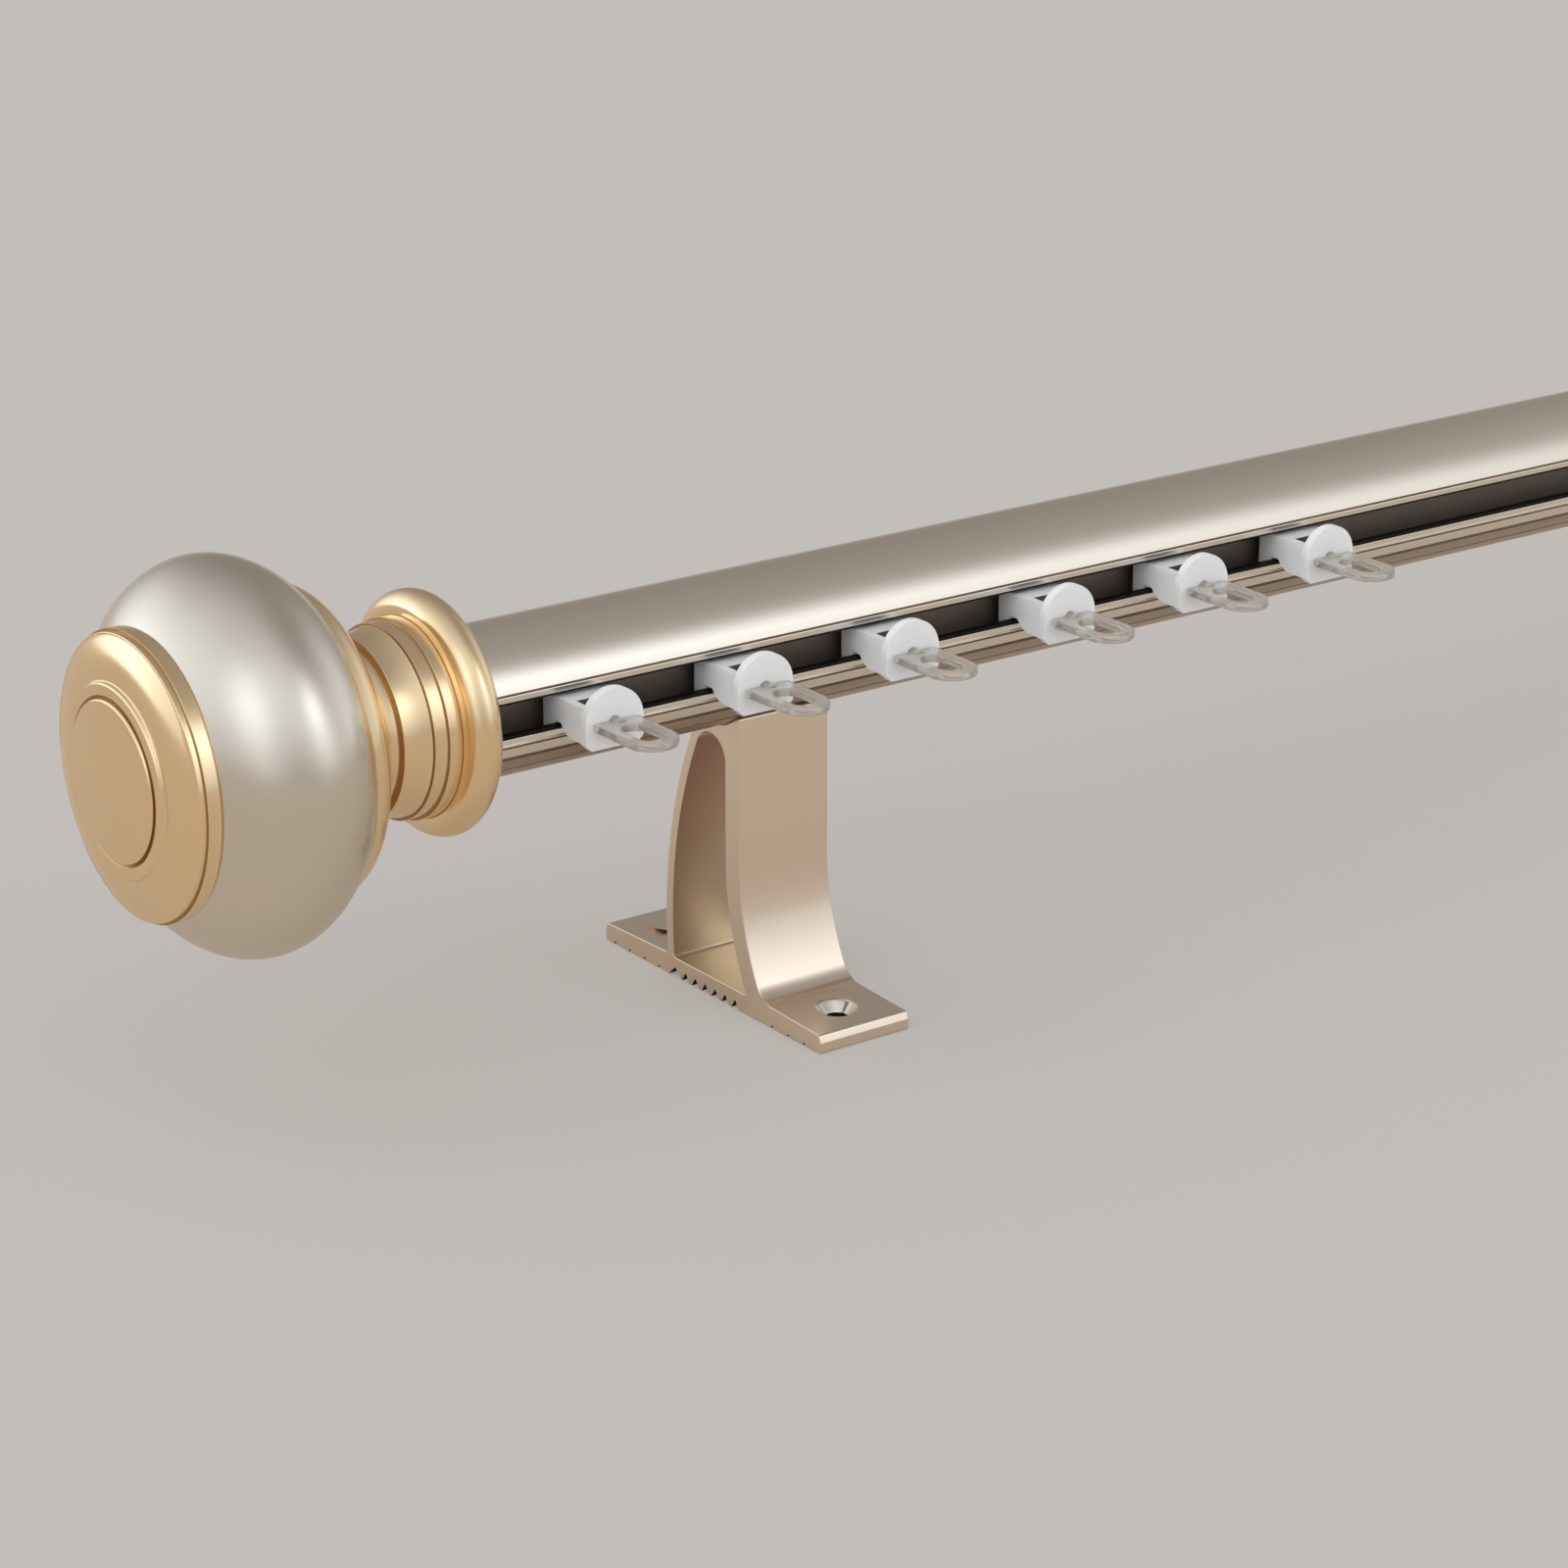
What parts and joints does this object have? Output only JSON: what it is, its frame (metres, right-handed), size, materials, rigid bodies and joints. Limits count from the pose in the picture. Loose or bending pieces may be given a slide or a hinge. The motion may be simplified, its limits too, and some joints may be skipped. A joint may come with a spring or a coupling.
{
  "type": "curtain track",
  "caption": "Round slotted curtain rail on wall brackets, with ball end finials and sliding runners that carry swivel eyelets.",
  "frame": {"origin": "middle of the plane on which the two wall plates stand, straight below the rail's axis", "axes": "X along the rail; -Y towards the runner slot, which points down in use; +Z away from the wall plates"},
  "size_m": [0.696, 0.0761, 0.1076],
  "materials": {
    "rail_champagne": "champagne anodised, fine satin",
    "bracket_champagne": "rosy champagne anodised satin",
    "finial_gold": "satin gold",
    "finial_ball_silver": "matt champagne silver",
    "strip_black": "black moulded",
    "runner_white": "white moulded nylon",
    "eyelet_clear": "clear smoky moulded",
    "steel": "zinc plated steel"
  },
  "bodies": {
    "track": {"rail": "rail_champagne", "upper_glide_strip": "strip_black", "lower_glide_strip": "strip_black", "bracket_left": "bracket_champagne", "clamp_plate_left": "steel", "clamp_screw_left": "steel", "finial_neck_left": "finial_gold", "finial_ball_left": "finial_ball_silver", "finial_cap_left": "finial_gold", "finial_tie_screw_left": "steel", "finial_set_screw_left": "steel", "bracket_right": "bracket_champagne", "clamp_plate_right": "steel", "clamp_screw_right": "steel", "finial_neck_right": "finial_gold", "finial_ball_right": "finial_ball_silver", "finial_cap_right": "finial_gold", "finial_tie_screw_right": "steel", "finial_set_screw_right": "steel"},
    "runner_1": {"runner_1": "runner_white"},
    "eyelet_1": {"eyelet_1": "eyelet_clear"},
    "runner_2": {"runner_2": "runner_white"},
    "eyelet_2": {"eyelet_2": "eyelet_clear"},
    "runner_3": {"runner_3": "runner_white"},
    "eyelet_3": {"eyelet_3": "eyelet_clear"},
    "runner_4": {"runner_4": "runner_white"},
    "eyelet_4": {"eyelet_4": "eyelet_clear"},
    "runner_5": {"runner_5": "runner_white"},
    "eyelet_5": {"eyelet_5": "eyelet_clear"},
    "runner_6": {"runner_6": "runner_white"},
    "eyelet_6": {"eyelet_6": "eyelet_clear"}
  },
  "joints": [
    {"name": "runner_1_slide", "type": "slide", "parent": "track", "child": "runner_1", "axis": [1, 0, 0], "range_m": [-0.0158, 0.0102]},
    {"name": "eyelet_1_swivel", "type": "hinge", "parent": "runner_1", "child": "eyelet_1", "pos_m": [-0.2566, -0.0228, 0.0702], "axis": [0, 1, 0], "continuous": true},
    {"name": "runner_2_slide", "type": "slide", "parent": "track", "child": "runner_2", "axis": [1, 0, 0], "range_m": [-0.0102, 0.0106]},
    {"name": "eyelet_2_swivel", "type": "hinge", "parent": "runner_2", "child": "eyelet_2", "pos_m": [-0.2228, -0.0228, 0.0702], "axis": [0, 1, 0], "continuous": true},
    {"name": "runner_3_slide", "type": "slide", "parent": "track", "child": "runner_3", "axis": [1, 0, 0], "range_m": [-0.0106, 0.0126]},
    {"name": "eyelet_3_swivel", "type": "hinge", "parent": "runner_3", "child": "eyelet_3", "pos_m": [-0.1883, -0.0228, 0.0702], "axis": [0, 1, 0], "continuous": true},
    {"name": "runner_4_slide", "type": "slide", "parent": "track", "child": "runner_4", "axis": [1, 0, 0], "range_m": [-0.0126, 0.0106]},
    {"name": "eyelet_4_swivel", "type": "hinge", "parent": "runner_4", "child": "eyelet_4", "pos_m": [-0.1496, -0.0228, 0.0702], "axis": [0, 1, 0], "continuous": true},
    {"name": "runner_5_slide", "type": "slide", "parent": "track", "child": "runner_5", "axis": [1, 0, 0], "range_m": [-0.0106, 0.0103]},
    {"name": "eyelet_5_swivel", "type": "hinge", "parent": "runner_5", "child": "eyelet_5", "pos_m": [-0.115, -0.0228, 0.0702], "axis": [0, 1, 0], "continuous": true},
    {"name": "runner_6_slide", "type": "slide", "parent": "track", "child": "runner_6", "axis": [1, 0, 0], "range_m": [-0.0103, 0.3534]},
    {"name": "eyelet_6_swivel", "type": "hinge", "parent": "runner_6", "child": "eyelet_6", "pos_m": [-0.081, -0.0228, 0.0702], "axis": [0, 1, 0], "continuous": true}
  ]
}
